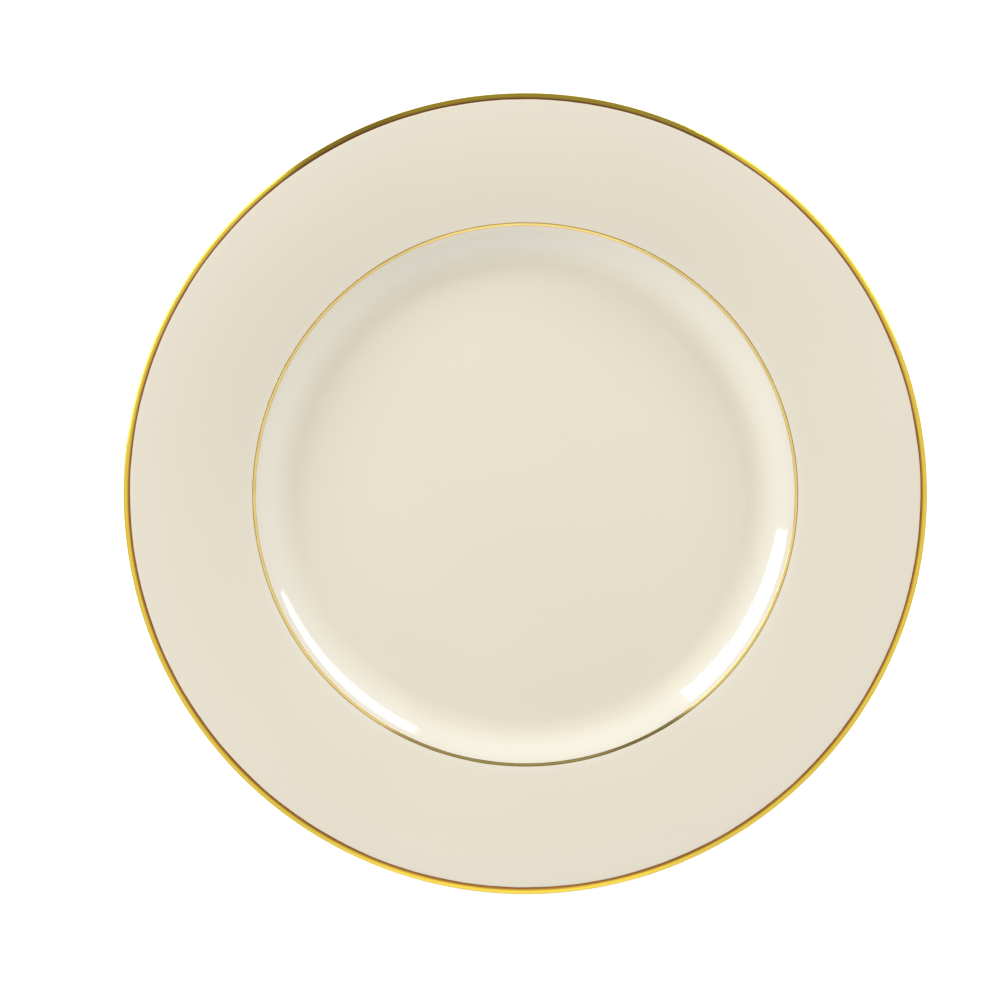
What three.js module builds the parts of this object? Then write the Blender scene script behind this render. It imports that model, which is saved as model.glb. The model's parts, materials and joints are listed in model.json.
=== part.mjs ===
// China dinner plate: a porcelain body with a wide rim and a turned foot ring,
// ivory glaze fused over it, a gold band round the lip and a gold line at the verge.
// Millimetres, +Z up. The origin is on the table, under the middle of the plate.
// Every piece is turned from one half outline, so the layers stay parallel.

import * as THREE from 'three';

// Driving dimensions
const plateDiameter = 273;
const turningSteps = 60;

const layers = {
  glaze: 0.25,
  gold: 0.12,
  seat: 0.02, // clearance between one fused layer and the next
};

const well = {
  floorHeight: 7.5,
  floorRadius: 75.7,
  bendRadius: 15, // the turn from the floor into the wall
  bendSlope: 28,
  wallRadius: 60, // the wall itself is a much wider hollow
  wallSlope: 35.8,
};

const verge = {
  radius: 10.5, // the rounded turn from the wall out to the rim
  lineInner: 91.75,
  lineOuter: 92.85,
};

const rim = {
  slopeAtVerge: 12,
  slopeAtLip: 6,
  backSlopeAtLip: 8.6,
};

const lip = {
  crownRadius: 5.1, // the soft top of the lip
  crownSlope: -27,
  bandInner: 134.15, // where the gold starts, on the crown
  shoulderRadius: 0.12, // the tight turn down its outside
  underRadius: 0.9,
};

const back = {
  wallThickness: 3.9,
};

const foot = {
  filletRadius: 2.2,
  draft: 8,
  edgeRadius: 0.8,
  contactWidth: 2.4,
  recessHeight: 3.5,
  recessFillet: 1.5,
  glazeEdge: 1.2, // height at which the glaze stops above the table
};

const radians = THREE.MathUtils.degToRad;

// Draws a half outline in straights and tangent arcs: x is the radius and y the height.
// A heading is in degrees: 0 is outwards, -90 down and -180 back towards the axis.
class OutlinePen {
  constructor(height) {
    this.points = [new THREE.Vector2(0, height)];
    this.marks = {};
    this.heading = 0;
  }

  get tip() {
    return this.points[this.points.length - 1];
  }

  mark(name) {
    this.marks[name] = this.points.length - 1;
  }

  advance(length) {
    const angle = radians(this.heading);
    const step = new THREE.Vector2(Math.cos(angle), Math.sin(angle)).multiplyScalar(length);
    this.points.push(this.tip.clone().add(step));
  }

  straightToRadius(radius) {
    this.advance((radius - this.tip.x) / Math.cos(radians(this.heading)));
  }

  straightToHeight(height) {
    this.advance((height - this.tip.y) / Math.sin(radians(this.heading)));
  }

  // An arc of the given radius that turns until it points along the heading
  bendToHeading(bendRadius, heading, steps) {
    const side = Math.sign(heading - this.heading);
    const startNormal = radians(this.heading - side * 90);
    const endNormal = radians(heading - side * 90);
    const centreX = this.tip.x - bendRadius * Math.cos(startNormal);
    const centreY = this.tip.y - bendRadius * Math.sin(startNormal);
    const arc = new THREE.EllipseCurve(
      centreX, centreY, bendRadius, bendRadius, startNormal, endNormal, side < 0,
    );
    this.points.push(...arc.getPoints(steps).slice(1));
    this.heading = heading;
  }

  // An arc of the given radius, turning clockwise, that stops above the given place
  bendDownToRadius(bendRadius, radius, steps) {
    const sine = Math.sin(radians(this.heading)) - (radius - this.tip.x) / bendRadius;
    this.bendToHeading(bendRadius, THREE.MathUtils.radToDeg(Math.asin(sine)), steps);
  }

  // The bend radius of the arc that reaches a place with a given heading
  bendRadiusTo(radius, heading) {
    const sines = Math.sin(radians(heading)) - Math.sin(radians(this.heading));
    return Math.abs((radius - this.tip.x) / sines);
  }

  between(first, last) {
    return this.points.slice(this.marks[first], this.marks[last] + 1);
  }
}

// The surface of the bare porcelain, from the middle of the well, over the lip and the
// foot ring, to the middle of the recess.
function drawBodyOutline() {
  const coats = layers.glaze + layers.gold + 2 * layers.seat;
  const crownSine = Math.sin(radians(lip.crownSlope));
  const crownSpread = Math.sin(radians(rim.slopeAtLip)) - crownSine;
  const crownEnd = plateDiameter / 2 - coats - lip.shoulderRadius * (1 + crownSine);
  const crownStart = crownEnd - lip.crownRadius * crownSpread;
  const edgeDrop = foot.edgeRadius * (1 - Math.sin(radians(foot.draft)));
  const recessDrop = foot.recessFillet * (1 - Math.sin(radians(foot.draft)));
  const pen = new OutlinePen(well.floorHeight);
  pen.mark('wellCentre');

  // face
  pen.straightToRadius(well.floorRadius);
  pen.bendToHeading(well.bendRadius, well.bendSlope, 4);
  pen.bendToHeading(well.wallRadius, well.wallSlope, 3);
  pen.bendDownToRadius(verge.radius, verge.lineInner, 2);
  pen.mark('lineInner');
  pen.bendDownToRadius(verge.radius, verge.lineOuter, 1);
  pen.mark('lineOuter');
  pen.bendToHeading(verge.radius, rim.slopeAtVerge, 1);
  const faceVerge = pen.tip.x;
  pen.bendToHeading(pen.bendRadiusTo(crownStart, rim.slopeAtLip), rim.slopeAtLip, 4);
  pen.bendDownToRadius(lip.crownRadius, lip.bandInner, 1);
  pen.mark('bandTop');
  pen.bendToHeading(lip.crownRadius, lip.crownSlope, 3);
  pen.bendToHeading(lip.shoulderRadius, -90, 2);
  pen.bendToHeading(lip.underRadius, rim.backSlopeAtLip - 180, 3);
  pen.mark('bandUnder');

  // back, one wall thickness under the face at the verge and along the wall
  const backVerge = faceVerge + back.wallThickness * Math.sin(radians(rim.slopeAtVerge));
  const backRimHeading = rim.slopeAtVerge - 180;
  pen.bendToHeading(pen.bendRadiusTo(backVerge, backRimHeading), backRimHeading, 2);
  pen.bendToHeading(verge.radius - back.wallThickness, well.wallSlope - 180, 2);
  pen.bendToHeading(well.wallRadius + back.wallThickness, well.bendSlope - 180, 3);
  pen.bendToHeading(foot.filletRadius, -90 - foot.draft, 3);
  pen.straightToHeight(foot.glazeEdge);
  pen.mark('footOuter');

  // foot ring and recess
  pen.straightToHeight(edgeDrop);
  pen.bendToHeading(foot.edgeRadius, -180, 2);
  pen.straightToRadius(pen.tip.x - foot.contactWidth);
  pen.bendToHeading(foot.edgeRadius, foot.draft - 270, 2);
  pen.straightToHeight(foot.glazeEdge);
  pen.mark('footInner');
  pen.straightToHeight(foot.recessHeight - recessDrop);
  pen.bendToHeading(foot.recessFillet, -180, 3);
  pen.straightToRadius(0);
  pen.mark('recessCentre');
  return pen;
}

// Moves an outline out from the porcelain by the same distance everywhere.
function moveOut(points, distance) {
  const normalBetween = (from, to) => {
    const along = to.clone().sub(from).normalize();
    return new THREE.Vector2(-along.y, along.x);
  };
  return points.map((point, index) => {
    const last = points.length - 1;
    const before = Math.max(index - 1, 0);
    const after = Math.min(index, last - 1);
    const normalIn = normalBetween(points[before], points[before + 1]);
    const normalOut = normalBetween(points[after], points[after + 1]);
    const mitre = normalIn.clone().add(normalOut).divideScalar(1 + normalIn.dot(normalOut));
    return point.clone().addScaledVector(mitre, distance);
  });
}

// The half section of a coat: out along its lower side and back along its upper side.
function coatSection(points, clearance, thickness) {
  const lower = moveOut(points, clearance);
  const upper = moveOut(points, clearance + thickness).reverse();
  return [...lower, ...upper];
}

function turned(name, section, material) {
  const geometry = new THREE.LatheGeometry(section, turningSteps);
  geometry.rotateX(Math.PI / 2);
  const mesh = new THREE.Mesh(geometry, material);
  mesh.name = name;
  return mesh;
}

function closed(section) {
  return [...section, section[0]];
}

const biscuit = new THREE.MeshStandardMaterial({ color: 0xe3d9c4, roughness: 0.8, metalness: 0 });
const ivoryGlaze = new THREE.MeshStandardMaterial({ color: 0xe5decc, roughness: 0.12, metalness: 0 });
const recessIvory = new THREE.MeshStandardMaterial({ color: 0xe2dbc8, roughness: 0.14, metalness: 0 });
const burnishedGold = new THREE.MeshStandardMaterial({ color: 0xd9b64a, roughness: 0.2, metalness: 1 });
const lineGold = new THREE.MeshStandardMaterial({ color: 0xd0b865, roughness: 0.25, metalness: 1 });

const outline = drawBodyOutline();
const goldClearance = layers.glaze + 2 * layers.seat;

const plate = new THREE.Group();
plate.name = 'dinner_plate';
plate.add(turned('porcelain_body', [...outline.points].reverse(), biscuit));
plate.add(turned(
  'glaze_coat',
  coatSection(outline.between('wellCentre', 'footOuter'), layers.seat, layers.glaze),
  ivoryGlaze,
));
plate.add(turned(
  'recess_glaze',
  closed(coatSection(outline.between('footInner', 'recessCentre'), layers.seat, layers.glaze)),
  recessIvory,
));
plate.add(turned(
  'gold_lip_band',
  closed(coatSection(outline.between('bandTop', 'bandUnder'), goldClearance, layers.gold)),
  burnishedGold,
));
plate.add(turned(
  'gold_verge_line',
  closed(coatSection(outline.between('lineInner', 'lineOuter'), goldClearance, layers.gold)),
  lineGold,
));

export default plate;
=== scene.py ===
# China dinner plate: a porcelain body on a turned foot ring, ivory glaze fused over it, a gold
# band round the lip and a gold line at the verge. Metres, +Z up, in the frame of the CAD model.

import json
import math

import bmesh
import bpy
from mathutils import Matrix, Vector, noise


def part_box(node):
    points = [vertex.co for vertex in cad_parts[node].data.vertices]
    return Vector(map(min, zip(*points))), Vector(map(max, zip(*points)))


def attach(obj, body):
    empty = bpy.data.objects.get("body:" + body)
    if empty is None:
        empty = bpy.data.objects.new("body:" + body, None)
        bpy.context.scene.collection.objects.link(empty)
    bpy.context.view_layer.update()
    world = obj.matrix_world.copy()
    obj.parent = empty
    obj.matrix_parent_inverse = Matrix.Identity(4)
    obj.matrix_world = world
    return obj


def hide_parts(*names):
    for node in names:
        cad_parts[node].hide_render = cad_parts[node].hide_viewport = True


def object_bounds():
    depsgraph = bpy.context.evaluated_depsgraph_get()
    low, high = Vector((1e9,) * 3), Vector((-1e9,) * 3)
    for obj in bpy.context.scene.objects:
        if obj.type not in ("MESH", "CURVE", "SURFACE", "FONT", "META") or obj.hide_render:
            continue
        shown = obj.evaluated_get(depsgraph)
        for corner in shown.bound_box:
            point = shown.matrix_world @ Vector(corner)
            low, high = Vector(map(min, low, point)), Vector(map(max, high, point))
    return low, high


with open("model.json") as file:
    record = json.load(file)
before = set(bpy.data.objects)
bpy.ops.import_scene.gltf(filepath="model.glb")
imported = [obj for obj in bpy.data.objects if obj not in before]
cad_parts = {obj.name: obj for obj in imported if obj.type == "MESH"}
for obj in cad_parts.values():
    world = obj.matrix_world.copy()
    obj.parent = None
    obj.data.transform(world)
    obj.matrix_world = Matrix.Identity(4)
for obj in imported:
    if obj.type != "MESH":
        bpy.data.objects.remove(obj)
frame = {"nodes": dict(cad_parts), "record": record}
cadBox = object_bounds()
print("frame loaded:", ", ".join(sorted(frame["nodes"])))

mm = 0.001
mounts = {mount["name"]: mount for mount in frame["record"]["mounts"]}

# What the frame settles: the sizes that the fine surface shares with the CAD solids
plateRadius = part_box("gold_lip_band")[1].x
footMiddle = mounts["foot_ring"]["pos_m"][0]
floorTop = mounts["well_floor"]["pos_m"][2]
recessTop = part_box("recess_glaze")[1].z

turning = {
    "stepsRound": 360,
    "chordError": 0.003 * mm,  # how far a flat may lie from its arc
    "mergeWithin": 0.0001 * mm,
}

coats = {
    "seat": 0.02 * mm,
    "glaze": 0.25 * mm,
    "goldSeat": 0.01 * mm,
    "gold": 0.04 * mm,
    "cadGold": 0.14 * mm,  # the CAD gold with its seat, thicker than the fired film
}

well = {
    "floorRadius": 75.7 * mm,
    "bendRadius": 15 * mm,  # the turn from the floor into the wall
    "bendSlope": 28,
    "wallRadius": 60 * mm,
    "wallSlope": 35.8,
}

verge = {
    "radius": 10.5 * mm,
    "lineInner": 91.75 * mm,
    "lineOuter": 92.85 * mm,
}

rim = {
    "slopeAtVerge": 12,
    "slopeAtLip": 6,
    "backSlopeAtLip": 8.6,
}

lip = {
    "crownRadius": 5.1 * mm,  # the soft top of the lip
    "crownSlope": -27,
    "bandInner": 134.15 * mm,  # where the gold starts, on the crown
    "shoulderRadius": 0.12 * mm,  # the tight turn down its outside
    "underRadius": 0.9 * mm,
}

back = {
    "wallThickness": 3.9 * mm,
}

foot = {
    "filletRadius": 2.2 * mm,
    "draft": 8,
    "edgeRadius": 0.8 * mm,
    "contactWidth": 2.4 * mm,
    "recessFillet": 1.5 * mm,
    "glazeEdge": 1.2 * mm,
}


# The pen draws a half outline in the XZ plane, in straights and tangent arcs.
# A heading is in degrees: 0 is outwards, -90 down and -180 back towards the axis.
def startPen(height):
    bm = bmesh.new()
    tip = bm.verts.new((0, 0, height))
    return {"bm": bm, "tip": tip, "heading": 0, "marks": {}}


def mark(pen, name):
    pen["marks"][name] = pen["tip"]


def straight(pen, length):
    turn = math.radians(pen["heading"])
    tip = bmesh.ops.extrude_vert_indiv(pen["bm"], verts=[pen["tip"]])["verts"][0]
    step = Vector((math.cos(turn), 0, math.sin(turn))) * length
    bmesh.ops.translate(pen["bm"], verts=[tip], vec=step)
    pen["tip"] = tip


def straightToRadius(pen, radius):
    straight(pen, (radius - pen["tip"].co.x) / math.cos(math.radians(pen["heading"])))


def straightToHeight(pen, height):
    straight(pen, (height - pen["tip"].co.z) / math.sin(math.radians(pen["heading"])))


def bendToHeading(pen, bendRadius, heading):
    turn = math.radians(heading - pen["heading"])
    start = math.radians(pen["heading"])
    towardsCentre = Vector((-math.sin(start), 0, math.cos(start))) * math.copysign(1, turn)
    finestTurn = math.sqrt(8 * turning["chordError"] / bendRadius)
    swept = bmesh.ops.spin(
        pen["bm"], geom=[pen["tip"]], cent=pen["tip"].co + towardsCentre * bendRadius,
        axis=(0, 1, 0), dvec=(0, 0, 0), angle=-turn, steps=math.ceil(abs(turn) / finestTurn),
        use_merge=False, use_normal_flip=False, use_duplicate=False,
    )
    pen["tip"] = swept["geom_last"][0]
    pen["heading"] = heading


# An arc that turns clockwise and stops above the given place
def bendDownToRadius(pen, bendRadius, radius):
    sine = math.sin(math.radians(pen["heading"])) - (radius - pen["tip"].co.x) / bendRadius
    bendToHeading(pen, bendRadius, math.degrees(math.asin(sine)))


# The bend radius of the arc that reaches a place with a given heading
def bendRadiusTo(pen, radius, heading):
    sines = math.sin(math.radians(heading)) - math.sin(math.radians(pen["heading"]))
    return abs((radius - pen["tip"].co.x) / sines)


# The surface of the bare porcelain, from the middle of the well, over the lip and the foot
# ring, to the middle of the recess
def drawPlateOutline():
    allCoats = coats["seat"] + coats["glaze"] + coats["cadGold"]
    crownSine = math.sin(math.radians(lip["crownSlope"]))
    crownSpread = math.sin(math.radians(rim["slopeAtLip"])) - crownSine
    crownEnd = plateRadius - allCoats - lip["shoulderRadius"] * (1 + crownSine)
    crownStart = crownEnd - lip["crownRadius"] * crownSpread
    draftSine = math.sin(math.radians(foot["draft"]))
    recessHeight = recessTop + coats["seat"]
    pen = startPen(floorTop - coats["seat"] - coats["glaze"])
    mark(pen, "wellCentre")

    # face
    straightToRadius(pen, well["floorRadius"])
    bendToHeading(pen, well["bendRadius"], well["bendSlope"])
    bendToHeading(pen, well["wallRadius"], well["wallSlope"])
    bendDownToRadius(pen, verge["radius"], verge["lineInner"])
    mark(pen, "lineInner")
    bendDownToRadius(pen, verge["radius"], verge["lineOuter"])
    mark(pen, "lineOuter")
    bendToHeading(pen, verge["radius"], rim["slopeAtVerge"])
    faceVerge = pen["tip"].co.x
    bendToHeading(pen, bendRadiusTo(pen, crownStart, rim["slopeAtLip"]), rim["slopeAtLip"])
    bendDownToRadius(pen, lip["crownRadius"], lip["bandInner"])
    mark(pen, "bandTop")
    bendToHeading(pen, lip["crownRadius"], lip["crownSlope"])
    bendToHeading(pen, lip["shoulderRadius"], -90)
    bendToHeading(pen, lip["underRadius"], rim["backSlopeAtLip"] - 180)
    mark(pen, "bandUnder")

    # back, one wall thickness under the face at the verge and along the wall
    backVerge = faceVerge + back["wallThickness"] * math.sin(math.radians(rim["slopeAtVerge"]))
    backRimHeading = rim["slopeAtVerge"] - 180
    bendToHeading(pen, bendRadiusTo(pen, backVerge, backRimHeading), backRimHeading)
    bendToHeading(pen, verge["radius"] - back["wallThickness"], well["wallSlope"] - 180)
    bendToHeading(pen, well["wallRadius"] + back["wallThickness"], well["bendSlope"] - 180)
    bendToHeading(pen, foot["filletRadius"], -90 - foot["draft"])
    straightToHeight(pen, foot["glazeEdge"])
    mark(pen, "footOuter")

    # foot ring and recess
    straightToHeight(pen, foot["edgeRadius"] * (1 - draftSine))
    bendToHeading(pen, foot["edgeRadius"], -180)
    straightToRadius(pen, pen["tip"].co.x - foot["contactWidth"])
    bendToHeading(pen, foot["edgeRadius"], foot["draft"] - 270)
    straightToHeight(pen, foot["glazeEdge"])
    mark(pen, "footInner")
    straightToHeight(pen, recessHeight - foot["recessFillet"] * (1 - draftSine))
    bendToHeading(pen, foot["recessFillet"], -180)
    straightToRadius(pen, 0)
    mark(pen, "recessCentre")
    return pen


# Keeps only the stretch of the outline that a coat covers
def trimOutline(pen, first, last):
    bm = pen["bm"]
    bm.verts.index_update()
    kept = range(pen["marks"][first].index, pen["marks"][last].index + 1)
    spare = [vert for vert in bm.verts if vert.index not in kept]
    bmesh.ops.delete(bm, geom=spare, context="VERTS")


# Turns the outline on the wheel; facing is 1 where the top of the surface faces up
def turnOnWheel(bm, facing):
    bmesh.ops.spin(
        bm, geom=bm.verts[:] + bm.edges[:], cent=(0, 0, 0), axis=(0, 0, 1), dvec=(0, 0, 0),
        angle=math.tau, steps=turning["stepsRound"],
        use_merge=True, use_normal_flip=False, use_duplicate=False,
    )
    bmesh.ops.remove_doubles(bm, verts=bm.verts[:], dist=turning["mergeWithin"])
    bmesh.ops.recalc_face_normals(bm, faces=bm.faces[:])
    highest = max(bm.faces, key=lambda face: face.calc_center_median().z)
    if highest.normal.z * facing < 0:
        bmesh.ops.reverse_faces(bm, faces=bm.faces[:])
    bm.normal_update()


kilnWarp = {
    "twoWay": 0.14 * mm,  # the rim dips and lifts a little in firing, twice round
    "twoWayTurn": 35,
    "threeWay": 0.06 * mm,
    "threeWayTurn": 10,
}


def warpInKiln(bm):
    for vert in bm.verts:
        radius = vert.co.xy.length
        share = max(0, (radius - footMiddle) / (plateRadius - footMiddle))
        azimuth = math.degrees(math.atan2(vert.co.y, vert.co.x))
        twoWay = kilnWarp["twoWay"] * math.cos(math.radians(2 * (azimuth - kilnWarp["twoWayTurn"])))
        threeWay = kilnWarp["threeWay"] * math.cos(math.radians(3 * (azimuth - kilnWarp["threeWayTurn"])))
        vert.co.z += share ** 2 * (twoWay + threeWay)


def liftSurface(bm, distance):
    for vert in bm.verts:
        vert.co += vert.normal * distance
    bm.normal_update()


# The second, finer ripple of an uneven edge
fineRipple = {"share": 0.5, "timesAsMany": 3}


def openEdgeVerts(bm):
    return {vert for edge in bm.edges if edge.is_boundary for vert in edge.verts}


# Uneven edges, as a brush or a sponge leaves them: each edge vertex slides along its own wall
def unsteadyEdge(bm, amount, ripples, seed):
    for vert in openEdgeVerts(bm):
        inward = [edge.other_vert(vert) for edge in vert.link_edges if not edge.is_boundary]
        along = (vert.co - inward[0].co).normalized()
        outwards = vert.co.xy.normalized()
        place = Vector((outwards.x * ripples, outwards.y * ripples, seed + vert.co.z))
        fine = fineRipple["share"] * noise.noise(place * fineRipple["timesAsMany"])
        vert.co += along * amount * (noise.noise(place) + fine)
    bm.normal_update()


cornerRounding = {"sharperThan": 60, "segments": 2}  # degrees between the faces of a corner


# A coat is a thin closed skin: its outer surface, thickened back towards the clay
def thickenCoat(bm, thickness, edgeRound):
    bmesh.ops.solidify(bm, geom=bm.faces[:], thickness=thickness)
    bm.normal_update()
    sharp = math.radians(cornerRounding["sharperThan"])
    corners = [edge for edge in bm.edges if edge.calc_face_angle(0) > sharp]
    bmesh.ops.bevel(
        bm, geom=corners, offset=edgeRound, offset_type="OFFSET", affect="EDGES",
        segments=cornerRounding["segments"], profile=0.5, material=-1,
    )


def finishPiece(bm, name, material, node):
    warpInKiln(bm)
    mesh = bpy.data.meshes.new(name)
    bm.to_mesh(mesh)
    bm.free()
    mesh.shade_smooth()
    mesh.materials.append(material)
    piece = bpy.data.objects.new(name, mesh)
    bpy.context.scene.collection.objects.link(piece)
    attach(piece, "root")
    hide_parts(node)
    print("made", name, "with", len(mesh.polygons), "faces")


# Short forms for building node trees: an input is given a value or the socket that feeds it
def addNode(tree, kind, inputs=None, **settings):
    made = tree.nodes.new(kind)
    for name, value in settings.items():
        setattr(made, name, value)
    for name, value in (inputs or {}).items():
        if isinstance(value, bpy.types.NodeSocket):
            tree.links.new(value, made.inputs[name])
        else:
            made.inputs[name].default_value = value
    return made


def maths(tree, operation, first, second=0.0):
    return addNode(tree, "ShaderNodeMath", {0: first, 1: second}, operation=operation).outputs[0]


# Sockets 6 and 7 are the Mix node's colours, and output 2 is the mixed one
def mixColors(tree, share, first, second):
    mixed = addNode(tree, "ShaderNodeMix", {0: share, 6: first, 7: second}, data_type="RGBA")
    return mixed.outputs[2]


def smoothStep(tree, value, low, high, atLow=0.0, atHigh=1.0):
    step = addNode(tree, "ShaderNodeMapRange", {
        "Value": value, "From Min": low, "From Max": high, "To Min": atLow, "To Max": atHigh,
    }, interpolation_type="SMOOTHSTEP")
    return step.outputs["Result"]


def setStops(ramp, stops):
    elements = ramp.color_ramp.elements
    while len(elements) < len(stops):
        elements.new(1.0)
    for element, (position, color) in zip(elements, stops):
        element.position = position
        element.color = color


def newGroup(name, inputs, output, outputKind):
    group = bpy.data.node_groups.new(name, "ShaderNodeTree")
    for label, kind, value in inputs:
        socket = group.interface.new_socket(label, in_out="INPUT", socket_type=kind)
        if value is not None:
            socket.default_value = value
    group.interface.new_socket(output, in_out="OUTPUT", socket_type=outputKind)
    given = group.nodes.new("NodeGroupInput").outputs
    result = group.nodes.new("NodeGroupOutput").inputs[output]
    return group, given, result


def useGroup(tree, group, inputs):
    return addNode(tree, "ShaderNodeGroup", inputs, node_tree=group).outputs[0]


# How far a point is from the wheel's axis
def radiusOf(tree, vector):
    flat = addNode(tree, "ShaderNodeVectorMath", {0: vector, 1: (1, 1, 0)}, operation="MULTIPLY")
    length = addNode(tree, "ShaderNodeVectorMath", {0: flat.outputs[0]}, operation="LENGTH")
    return length.outputs["Value"]


# The height left by the forming tool, in rings, and by the glaze where it pooled
def makeWheelRipple():
    group, given, result = newGroup("wheelRipple", [
        ("Vector", "NodeSocketVector", None),
        ("Ring Spacing", "NodeSocketFloat", 0.005),
        ("Ring Depth", "NodeSocketFloat", 0.0),
        ("Pool Scale", "NodeSocketFloat", 20.0),
        ("Pool Depth", "NodeSocketFloat", 0.0),
    ], "Height", "NodeSocketFloat")
    radius = radiusOf(group, given["Vector"])
    rings = addNode(group, "ShaderNodeTexNoise", {
        "W": maths(group, "DIVIDE", radius, given["Ring Spacing"]), "Scale": 1.0, "Detail": 1.0,
    }, noise_dimensions="1D")
    pools = addNode(group, "ShaderNodeTexNoise", {
        "Vector": given["Vector"], "Scale": given["Pool Scale"], "Detail": 1.0,
    })
    ringHeight = maths(group, "MULTIPLY", rings.outputs["Fac"], given["Ring Depth"])
    poolHeight = maths(group, "MULTIPLY", pools.outputs["Fac"], given["Pool Depth"])
    group.links.new(maths(group, "ADD", ringHeight, poolHeight), result)
    return group


# Noise gathers round one half; these ends stretch its middle to run from none to all
noiseSpread = (0.3, 0.7)


# A slow drift between two close tones
def makeToneDrift():
    group, given, result = newGroup("toneDrift", [
        ("Vector", "NodeSocketVector", None),
        ("Scale", "NodeSocketFloat", 10.0),
        ("First Tone", "NodeSocketColor", (0.8, 0.8, 0.8, 1)),
        ("Second Tone", "NodeSocketColor", (0.8, 0.8, 0.8, 1)),
    ], "Color", "NodeSocketColor")
    clouds = addNode(group, "ShaderNodeTexNoise", {
        "Vector": given["Vector"], "Scale": given["Scale"], "Detail": 2.0,
    })
    share = smoothStep(group, clouds.outputs["Fac"], *noiseSpread)
    group.links.new(mixColors(group, share, given["First Tone"], given["Second Tone"]), result)
    return group


# Streaks that run round the plate, as a loaded brush leaves them on the banding wheel
def makeBandingStreaks():
    group, given, result = newGroup("bandingStreaks", [
        ("Vector", "NodeSocketVector", None),
        ("Streak Spacing", "NodeSocketFloat", 0.0003),
        ("Changes Round", "NodeSocketFloat", 6.0),
    ], "Streak", "NodeSocketFloat")
    height = addNode(group, "ShaderNodeSeparateXYZ", {"Vector": given["Vector"]}).outputs["Z"]
    across = maths(group, "SUBTRACT", radiusOf(group, given["Vector"]), height)
    flat = addNode(group, "ShaderNodeVectorMath", {
        0: given["Vector"], 1: (1, 1, 0),
    }, operation="MULTIPLY")
    outwards = addNode(group, "ShaderNodeVectorMath", {0: flat.outputs[0]}, operation="NORMALIZE")
    turnRound = addNode(group, "ShaderNodeVectorMath", {
        0: outwards.outputs[0], "Scale": given["Changes Round"],
    }, operation="SCALE")
    brush = addNode(group, "ShaderNodeCombineXYZ", {
        "Z": maths(group, "DIVIDE", across, given["Streak Spacing"]),
    })
    place = addNode(group, "ShaderNodeVectorMath", {
        0: turnRound.outputs[0], 1: brush.outputs[0],
    }, operation="ADD")
    streaks = addNode(group, "ShaderNodeTexNoise", {
        "Vector": place.outputs[0], "Scale": 1.0, "Detail": 2.0,
    })
    group.links.new(smoothStep(group, streaks.outputs["Fac"], *noiseSpread), result)
    return group


# Scattered dots: pinholes and iron specks in the clay, or the rub marks of use
def makeScatteredDots():
    group, given, result = newGroup("scatteredDots", [
        ("Vector", "NodeSocketVector", None),
        ("Scale", "NodeSocketFloat", 500.0),
        ("Dot Size", "NodeSocketFloat", 0.2),
        ("Share Kept", "NodeSocketFloat", 0.1),
    ], "Mask", "NodeSocketFloat")
    cells = addNode(group, "ShaderNodeTexVoronoi", {
        "Vector": given["Vector"], "Scale": given["Scale"],
    })
    draw = addNode(group, "ShaderNodeSeparateColor", {"Color": cells.outputs["Color"]}).outputs["Red"]
    kept = maths(group, "LESS_THAN", draw, given["Share Kept"])
    halfSize = maths(group, "MULTIPLY", given["Dot Size"], 0.5)
    dot = smoothStep(group, cells.outputs["Distance"], halfSize, given["Dot Size"], 1.0, 0.0)
    group.links.new(maths(group, "MULTIPLY", dot, kept), result)
    return group


wheelRipple = makeWheelRipple()
toneDrift = makeToneDrift()
bandingStreaks = makeBandingStreaks()
scatteredDots = makeScatteredDots()


def newMaterial(name):
    material = bpy.data.materials.new(name)
    material.use_nodes = True
    tree = material.node_tree
    shader = tree.nodes["Principled BSDF"]
    place = tree.nodes.new("ShaderNodeTexCoord").outputs["Object"]
    return material, tree, shader, place


def bumpFrom(tree, shader, height):
    bump = addNode(tree, "ShaderNodeBump", {"Height": height, "Distance": 1.0, "Strength": 1.0})
    tree.links.new(bump.outputs["Normal"], shader.inputs["Normal"])


# The tones run from the middle to the lip and are painted light and shade by radius: a painted lightening
# at the foot of the wall, a painted bright band at the top of the wall, and painted shade on the rim from
# the verge outwards, easing towards the lip
ivoryGlaze = {
    "tones": [
        (50 * mm, (0.787, 0.758, 0.626, 1)),
        (66 * mm, (0.783, 0.749, 0.615, 1)),
        # painted light: a little lighter at the foot of the wall
        (75.5 * mm, (0.793, 0.757, 0.615, 1)),
        (80 * mm, (0.787, 0.750, 0.605, 1)),
        # painted light: the bright band at the top of the wall
        (86.5 * mm, (0.836, 0.805, 0.697, 1)),
        # painted shade: from here out the rim is darker than the well
        (97 * mm, (0.775, 0.736, 0.612, 1)),
        (112 * mm, (0.781, 0.741, 0.611, 1)),
        (130 * mm, (0.795, 0.754, 0.632, 1)),
    ],
    "patchiness": 0.02,
    "toneScale": 9,
    "gloss": 0.06,  # roughness where the glaze is smoothest
    "dullest": 0.09,
    "hazeScale": 60,
    "hazeSpread": (0.35, 0.7),
    "refraction": 1.5,
    "ringSpacing": 4.5 * mm,
    "ringDepth": 0.004 * mm,
    "poolScale": 22,
    "poolDepth": 0.02 * mm,
}

recessGlaze = {
    **ivoryGlaze,
    "tones": [(20 * mm, (0.79, 0.73, 0.60, 1)), (70 * mm, (0.77, 0.71, 0.58, 1))],
    "patchiness": 0.05,  # thinner here, so more of the clay shows
    "gloss": 0.08,
    "dullest": 0.16,
    "ringSpacing": 3 * mm,
    "ringDepth": 0.012 * mm,
    "poolScale": 45,
    "poolDepth": 0.03 * mm,
}


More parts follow.
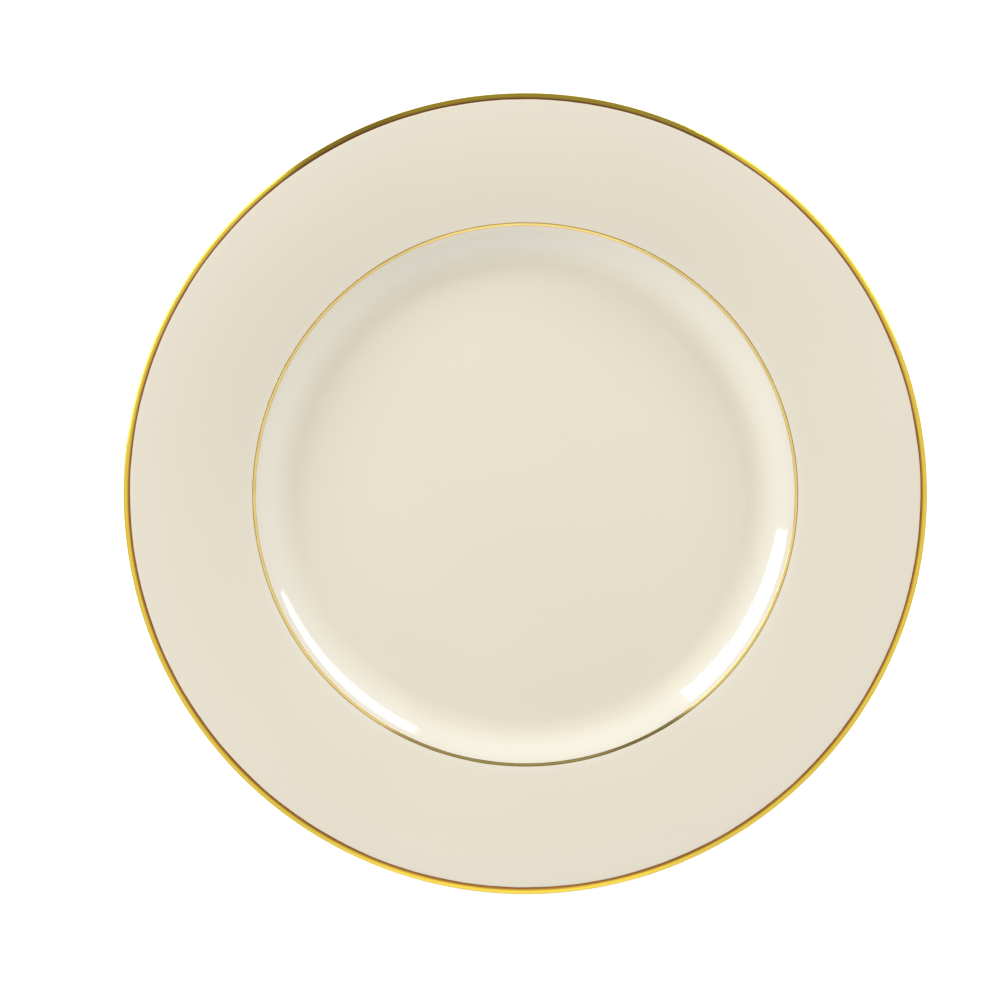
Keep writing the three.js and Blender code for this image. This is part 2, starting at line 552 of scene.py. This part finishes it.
# A ramp of tones over the distance from the middle, as a share of the way to the lip
def toneByRadius(tree, place, tones):
    share = maths(tree, "DIVIDE", radiusOf(tree, place), plateRadius)
    ramp = addNode(tree, "ShaderNodeValToRGB", {"Fac": share})
    ramp.color_ramp.interpolation = "EASE"
    setStops(ramp, [(radius / plateRadius, color) for radius, color in tones])
    return ramp.outputs["Color"]


def glazeMaterial(name, finish):
    material, tree, shader, place = newMaterial(name)
    # for the ivory glaze this ramp is painted light and shade by radius
    light = toneByRadius(tree, place, finish["tones"])
    deep = mixColors(tree, finish["patchiness"], light, (0, 0, 0, 1))
    tone = useGroup(tree, toneDrift, {
        "Vector": place, "Scale": finish["toneScale"], "First Tone": light, "Second Tone": deep,
    })
    height = useGroup(tree, wheelRipple, {
        "Vector": place,
        "Ring Spacing": finish["ringSpacing"], "Ring Depth": finish["ringDepth"],
        "Pool Scale": finish["poolScale"], "Pool Depth": finish["poolDepth"],
    })
    haze = addNode(tree, "ShaderNodeTexNoise", {
        "Vector": place, "Scale": finish["hazeScale"], "Detail": 3.0,
    })
    dullness = smoothStep(
        tree, haze.outputs["Fac"], *finish["hazeSpread"], finish["gloss"], finish["dullest"],
    )
    tree.links.new(tone, shader.inputs["Base Color"])
    tree.links.new(dullness, shader.inputs["Roughness"])
    shader.inputs["IOR"].default_value = finish["refraction"]
    bumpFrom(tree, shader, height)
    return material


biscuit = {
    "light": (0.74, 0.69, 0.57, 1),
    "deep": (0.66, 0.61, 0.49, 1),
    "toneScale": 60,
    "rub": (0.33, 0.31, 0.28, 1),  # grey marks from other plates and shelves
    "rubScale": 900,
    "rubSize": 0.5,
    "rubsKept": 0.12,  # the share of the possible marks that are there
    "rubStrength": 0.6,
    "grainScale": 4000,
    "grainDepth": 0.012 * mm,
    "rough": 0.7,
    "roughest": 0.9,
}


def biscuitMaterial(name, finish):
    material, tree, shader, place = newMaterial(name)
    clay = useGroup(tree, toneDrift, {
        "Vector": place, "Scale": finish["toneScale"],
        "First Tone": finish["light"], "Second Tone": finish["deep"],
    })
    rubs = useGroup(tree, scatteredDots, {
        "Vector": place, "Scale": finish["rubScale"],
        "Dot Size": finish["rubSize"], "Share Kept": finish["rubsKept"],
    })
    rubShare = maths(tree, "MULTIPLY", rubs, finish["rubStrength"])
    rubbed = mixColors(tree, rubShare, clay, finish["rub"])
    grain = addNode(tree, "ShaderNodeTexNoise", {
        "Vector": place, "Scale": finish["grainScale"], "Detail": 3.0,
    })
    dullness = smoothStep(
        tree, grain.outputs["Fac"], *noiseSpread, finish["rough"], finish["roughest"],
    )
    tree.links.new(rubbed, shader.inputs["Base Color"])
    tree.links.new(dullness, shader.inputs["Roughness"])
    bumpFrom(tree, shader, maths(tree, "MULTIPLY", grain.outputs["Fac"], finish["grainDepth"]))
    return material


# The film thins out towards its brushed edges and shows a brown tint there, deepened to a darker
# purple-brown as painted dark reflection at the band's edges
lipGold = {
    "bright": (0.87, 0.665, 0.085, 1),
    "deep": (0.79, 0.56, 0.06, 1),
    "thinTintAndPaintedDark": (0.64, 0.32, 0.12, 1),
    "middle": 136.5 * mm,  # the outside of the lip, halfway round the band
    "halfWidth": 2.35 * mm,
    "tintedEdgeWidth": 1.4 * mm,
    "streakSpacing": 0.35 * mm,
    "changesRound": 7,
    "streakDepth": 0.0006 * mm,
    "wearScale": 300,
    "wearForDullest": 0.6,
    "polished": 0.08,
    "dullest": 0.17,
}

lineGold = {
    **lipGold,
    "bright": (0.87, 0.71, 0.25, 1),
    "deep": (0.79, 0.61, 0.19, 1),
    "middle": 92.3 * mm,
    "halfWidth": 0.7 * mm,
    "tintedEdgeWidth": 0.3 * mm,
    "streakSpacing": 0.2 * mm,
    "changesRound": 10,
}


def goldMaterial(name, finish):
    material, tree, shader, place = newMaterial(name)
    streak = useGroup(tree, bandingStreaks, {
        "Vector": place,
        "Streak Spacing": finish["streakSpacing"], "Changes Round": finish["changesRound"],
    })
    wear = addNode(tree, "ShaderNodeTexNoise", {
        "Vector": place, "Scale": finish["wearScale"], "Detail": 4.0,
    })
    polish = maths(tree, "MULTIPLY", streak, wear.outputs["Fac"])
    full = mixColors(tree, streak, finish["bright"], finish["deep"])
    fromMiddle = maths(tree, "SUBTRACT", radiusOf(tree, place), finish["middle"])
    fullHalfWidth = finish["halfWidth"] - finish["tintedEdgeWidth"]
    # painted dark reflection: the band's edges take a darker tint than the thin film alone
    thinTintAndPaintedDarkShare = smoothStep(
        tree, maths(tree, "ABSOLUTE", fromMiddle), fullHalfWidth, finish["halfWidth"],
    )
    tone = mixColors(tree, thinTintAndPaintedDarkShare, full, finish["thinTintAndPaintedDark"])
    dullness = smoothStep(
        tree, polish, 0.0, finish["wearForDullest"], finish["polished"], finish["dullest"],
    )
    tree.links.new(tone, shader.inputs["Base Color"])
    tree.links.new(dullness, shader.inputs["Roughness"])
    shader.inputs["Metallic"].default_value = 1.0
    bumpFrom(tree, shader, maths(tree, "MULTIPLY", streak, finish["streakDepth"]))
    return material


print("materials ready")


def makePorcelainBody():
    pen = drawPlateOutline()
    turnOnWheel(pen["bm"], facing=1)
    material = biscuitMaterial("bareBiscuit", biscuit)
    finishPiece(pen["bm"], "fine_porcelain_body", material, "porcelain_body")


glazeCoat = {
    "name": "fine_glaze_coat",
    "marks": ("wellCentre", "footOuter"),
    "facing": 1,
    "edgeWander": 0.12 * mm,  # the wiped edge at the foot isn't quite level
    "edgeRipples": 14,
    "seed": 3,
    "outside": coats["seat"] + coats["glaze"],
    "thickness": coats["glaze"],
    "edgeRound": 0.08 * mm,
    "node": "glaze_coat",
    "slot": "ivory_glaze",
}

recessCoat = {
    **glazeCoat,
    "name": "fine_recess_glaze",
    "marks": ("footInner", "recessCentre"),
    "facing": -1,
    "seed": 8,
    "node": "recess_glaze",
    "slot": "recess_glaze",
}

lipBand = {
    "name": "fine_gold_lip_band",
    "marks": ("bandTop", "bandUnder"),
    "facing": 1,
    "edgeWander": 0.12 * mm,
    "edgeRipples": 9,
    "seed": 5,
    "outside": coats["seat"] + coats["glaze"] + coats["goldSeat"] + coats["gold"],
    "thickness": coats["gold"],
    "edgeRound": 0.015 * mm,
    "node": "gold_lip_band",
    "slot": "lip_gold",
}

vergeLine = {
    **lipBand,
    "name": "fine_gold_verge_line",
    "marks": ("lineInner", "lineOuter"),
    "edgeWander": 0.05 * mm,
    "edgeRipples": 16,
    "seed": 6,
    "node": "gold_verge_line",
    "slot": "line_gold",
}


def makeCoat(coat, material):
    pen = drawPlateOutline()
    trimOutline(pen, *coat["marks"])
    turnOnWheel(pen["bm"], coat["facing"])
    unsteadyEdge(pen["bm"], coat["edgeWander"], coat["edgeRipples"], coat["seed"])
    liftSurface(pen["bm"], coat["outside"])
    thickenCoat(pen["bm"], coat["thickness"], coat["edgeRound"])
    finishPiece(pen["bm"], coat["name"], material, coat["node"])


makePorcelainBody()
makeCoat(glazeCoat, glazeMaterial("ivoryGlaze", ivoryGlaze))
makeCoat(recessCoat, glazeMaterial("recessGlaze", recessGlaze))
makeCoat(lipBand, goldMaterial("lipGold", lipGold))
makeCoat(vergeLine, goldMaterial("lineGold", lineGold))

table = {
    "halfWidth": 15,
    "paper": (0.92, 0.92, 0.92, 1),
    "paperDeep": (0.90, 0.90, 0.90, 1),
    "toneScale": 4,
    "glow": 0.5,  # added only in the lens, so that it stays white right round the plate
}


def makeTable():
    bm = bmesh.new()
    bmesh.ops.create_grid(bm, x_segments=1, y_segments=1, size=table["halfWidth"])
    mesh = bpy.data.meshes.new("table")
    bm.to_mesh(mesh)
    bm.free()
    material, tree, shader, place = newMaterial("paleTable")
    tone = useGroup(tree, toneDrift, {
        "Vector": place, "Scale": table["toneScale"],
        "First Tone": table["paper"], "Second Tone": table["paperDeep"],
    })
    tree.links.new(tone, shader.inputs["Base Color"])
    shader.inputs["Roughness"].default_value = 1.0
    shader.inputs["Specular IOR Level"].default_value = 0.0
    seen = tree.nodes.new("ShaderNodeLightPath").outputs["Is Camera Ray"]
    tree.links.new(mixColors(tree, seen, (0, 0, 0, 1), (1, 1, 1, 1)), shader.inputs["Emission Color"])
    shader.inputs["Emission Strength"].default_value = table["glow"]
    mesh.materials.append(material)
    piece = bpy.data.objects.new("table", mesh)
    bpy.context.scene.collection.objects.link(piece)


# The room: bright walls, a dark ceiling above the camera, a dark gap on the far side and a
# brighter stretch on the near side
room = {
    "brightness": 1.045,
    # elevation in degrees, and the tone there
    "tones": [
        (0, (0.71, 0.71, 0.71, 1)),
        (20, (0.75, 0.75, 0.75, 1)),
        (40, (0.90, 0.90, 0.90, 1)),
        (53, (0.90, 0.90, 0.90, 1)),
        (62, (0.68, 0.66, 0.65, 1)),
        (68, (0.42, 0.30, 0.24, 1)),
    ],
    # azimuths in degrees, how soft the ends are, and the level in between
    "stretches": [
        {"from": 64, "to": 122, "edge": 2, "level": 0.4},
        {"from": 106, "to": 122, "edge": 4, "level": 0.6},
        {"from": -117, "to": -66, "edge": 16, "level": 1.3},
    ],
}


def makeRoom():
    world = bpy.data.worlds.new("room")
    bpy.context.scene.world = world
    world.use_nodes = True
    tree = world.node_tree
    tree.nodes.clear()
    direction = tree.nodes.new("ShaderNodeTexCoord").outputs["Generated"]
    parts = addNode(tree, "ShaderNodeSeparateXYZ", {"Vector": direction}).outputs
    elevation = maths(tree, "DEGREES", maths(tree, "ARCSINE", parts["Z"]))
    azimuth = maths(tree, "DEGREES", maths(tree, "ARCTAN2", parts["Y"], parts["X"]))
    ramp = addNode(tree, "ShaderNodeValToRGB", {"Fac": maths(tree, "DIVIDE", elevation, 90.0)})
    setStops(ramp, [(angle / 90, tone) for angle, tone in room["tones"]])
    strength = room["brightness"]
    for stretch in room["stretches"]:
        half = stretch["edge"] / 2
        entering = smoothStep(tree, azimuth, stretch["from"] - half, stretch["from"] + half)
        leaving = smoothStep(
            tree, azimuth, stretch["to"] - half, stretch["to"] + half,
            stretch["level"] - 1, 0.0,
        )
        change = maths(tree, "MULTIPLY", entering, leaving)
        strength = maths(tree, "MULTIPLY", strength, maths(tree, "ADD", change, 1.0))
    surround = addNode(tree, "ShaderNodeBackground", {
        "Color": ramp.outputs["Color"], "Strength": strength,
    })
    backdrop = addNode(tree, "ShaderNodeBackground", {"Color": (1, 1, 1, 1), "Strength": 1.0})
    seen = tree.nodes.new("ShaderNodeLightPath").outputs["Is Camera Ray"]
    both = addNode(tree, "ShaderNodeMixShader", {
        0: seen, 1: surround.outputs[0], 2: backdrop.outputs[0],
    })
    addNode(tree, "ShaderNodeOutputWorld", {"Surface": both.outputs[0]})


# Long soft boxes, low down on the far side: one on the right, and two end to end on the left
softBoxes = [
    {
        "name": "rightSoftBox", "azimuth": 47, "elevation": 15.8,
        "width": 0.86, "height": 0.30, "radiance": 8.5,
    },
    {
        "name": "leftSoftBox", "azimuth": 136, "elevation": 19.8,
        "width": 0.44, "height": 0.31, "radiance": 10.5,
    },
    {
        "name": "leftSoftBoxEnd", "azimuth": 156, "elevation": 18.8,
        "width": 0.44, "height": 0.38, "radiance": 9.5,
    },
]
boxDistance = 1.25


def fromAngles(azimuth, elevation):
    turn, lift = math.radians(azimuth), math.radians(elevation)
    return Vector((math.cos(turn) * math.cos(lift), math.sin(turn) * math.cos(lift), math.sin(lift)))


def placeFacing(thing, target, direction, distance):
    facing = direction.to_track_quat("Z", "Y").to_matrix().to_4x4()
    thing.matrix_world = Matrix.Translation(target + direction * distance) @ facing


def makeSoftBoxes():
    for box in softBoxes:
        light = bpy.data.lights.new(box["name"], "AREA")
        light.shape = "RECTANGLE"
        light.size = box["width"]
        light.size_y = box["height"]
        light.energy = box["radiance"] * math.pi * box["width"] * box["height"]
        lamp = bpy.data.objects.new(box["name"], light)
        lamp.visible_camera = False
        bpy.context.scene.collection.objects.link(lamp)
        target = Vector((0, 0, cadBox[1].z))
        placeFacing(lamp, target, fromAngles(box["azimuth"], box["elevation"]), boxDistance)


# A long lens almost straight above, leaning a little to the near side
cameraSetup = {
    "distance": 6,
    "elevation": 85.5,
    "frameWidth": 0.3398,
    "aim": (-0.0084, -0.0027),
    "sensorWidth": 36,
    "clip": (0.1, 50),
}


def makeCamera():
    camera = bpy.data.cameras.new("camera")
    camera.sensor_width = cameraSetup["sensorWidth"]
    camera.lens = cameraSetup["sensorWidth"] * cameraSetup["distance"] / cameraSetup["frameWidth"]
    camera.clip_start, camera.clip_end = cameraSetup["clip"]
    stand = bpy.data.objects.new("camera", camera)
    bpy.context.scene.collection.objects.link(stand)
    target = Vector((*cameraSetup["aim"], cadBox[1].z))
    placeFacing(stand, target, fromAngles(-90, cameraSetup["elevation"]), cameraSetup["distance"])
    bpy.context.scene.camera = stand


makeTable()
makeRoom()
makeSoftBoxes()
makeCamera()
bpy.context.scene.view_settings.view_transform = "Standard"
print("studio ready")
